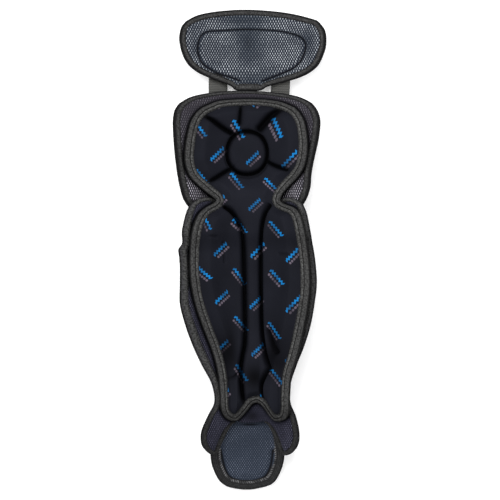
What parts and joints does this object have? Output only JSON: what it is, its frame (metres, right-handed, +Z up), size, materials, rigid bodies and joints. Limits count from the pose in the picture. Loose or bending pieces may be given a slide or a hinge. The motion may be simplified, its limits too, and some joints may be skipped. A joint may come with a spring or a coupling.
{
  "type": "catcher's leg guard",
  "caption": "Baseball catcher's leg guard lying on its hard shells, with its mesh pads and moulded cushion liner facing up.",
  "frame": {"origin": "on the ground, in the middle of the footprint", "axes": "+Z up from the hard shells to the padded side, +Y along the leg towards the thigh, +X across the leg"},
  "size_m": [0.2072, 0.6628, 0.0989],
  "materials": {
    "mesh": "spacer mesh, matte",
    "edge_tape": "knitted binding tape, matte",
    "liner": "smooth stretch knit, slightly glossy",
    "webbing": "woven webbing",
    "shell": "moulded plastic, satin",
    "rivet": "plain steel rivet head"
  },
  "bodies": {
    "root": {"thigh_pad": "mesh", "knee_pad": "mesh", "shin_pad": "mesh", "instep_pad": "mesh", "thigh_tape": "edge_tape", "knee_tape": "edge_tape", "shin_tape": "edge_tape", "instep_tape": "edge_tape", "liner_tape": "edge_tape", "liner": "liner", "thigh_shell": "shell", "knee_shell": "shell", "shin_shell": "shell", "instep_shell": "shell", "thigh_strap_left": "webbing", "thigh_strap_right": "webbing", "rivet_thigh_left": "rivet", "rivet_thigh_right": "rivet", "rivet_knee_left": "rivet", "rivet_knee_right": "rivet", "rivet_waist_left": "rivet", "rivet_waist_right": "rivet", "rivet_instep_left": "rivet", "rivet_instep_right": "rivet"}
  },
  "joints": []
}
